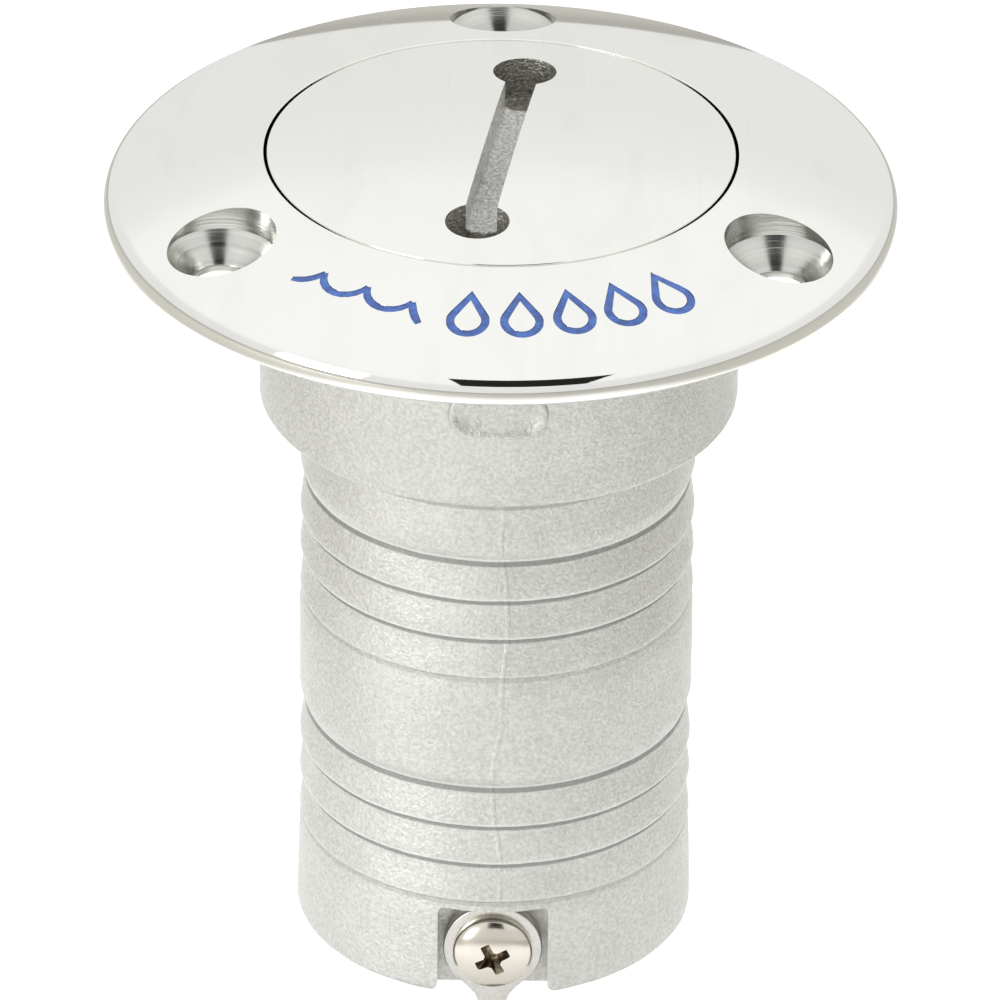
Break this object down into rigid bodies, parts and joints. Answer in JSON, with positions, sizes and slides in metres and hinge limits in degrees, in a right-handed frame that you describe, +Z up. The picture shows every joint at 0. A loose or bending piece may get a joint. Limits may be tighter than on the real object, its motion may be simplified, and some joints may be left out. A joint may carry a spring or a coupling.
{
  "type": "deck fill cap",
  "caption": "Deck fill for a boat's water tank: a domed stainless flange on a barbed hose neck, closed by a screwed cap on a bead chain.",
  "frame": {"origin": "centre of the flange's underside, where it lies on the deck", "axes": "+Z up out of the deck along the fill's axis, -Y towards the chain lug at the foot of the neck"},
  "size_m": [0.076, 0.076, 0.1091],
  "materials": {
    "cast_stainless": "bead-blasted casting, its flange polished",
    "polished_stainless": "mirror polish with fine scratches",
    "seal_rubber": "matt black nitrile rubber",
    "screw_stainless": "bright tumbled",
    "sheet_stainless": "satin stamped sheet",
    "chain_stainless": "bright rolled beads",
    "blue_enamel": "blue enamel in engraved marks"
  },
  "bodies": {
    "body": {"fill_body": "cast_stainless", "retaining_chain": "chain_stainless", "lug_chain_eyelet": "sheet_stainless", "lug_washer": "sheet_stainless", "lug_screw": "screw_stainless", "drop_enamel": "blue_enamel", "wave_enamel": "blue_enamel"},
    "chain_swivel": {"cap_chain_eyelet": "sheet_stainless"},
    "cap": {"cap": "polished_stainless", "cap_o_ring": "seal_rubber", "cap_chain_screw": "screw_stainless", "cap_chain_washer": "sheet_stainless"}
  },
  "joints": [
    {"name": "cap_rise", "type": "slide", "parent": "body", "child": "chain_swivel", "axis": [0, 0, 1], "range_m": [0, 0.0065], "deforming": ["retaining_chain"]},
    {"name": "cap_turn", "type": "hinge", "parent": "chain_swivel", "child": "cap", "pos_m": [0, 0, 0], "axis": [0, 0, 1], "range_deg": [0, 1171]}
  ],
  "couplings": [
    {"joint": "cap_turn", "follows": "cap_rise", "rad_per_m": 3141.6}
  ]
}
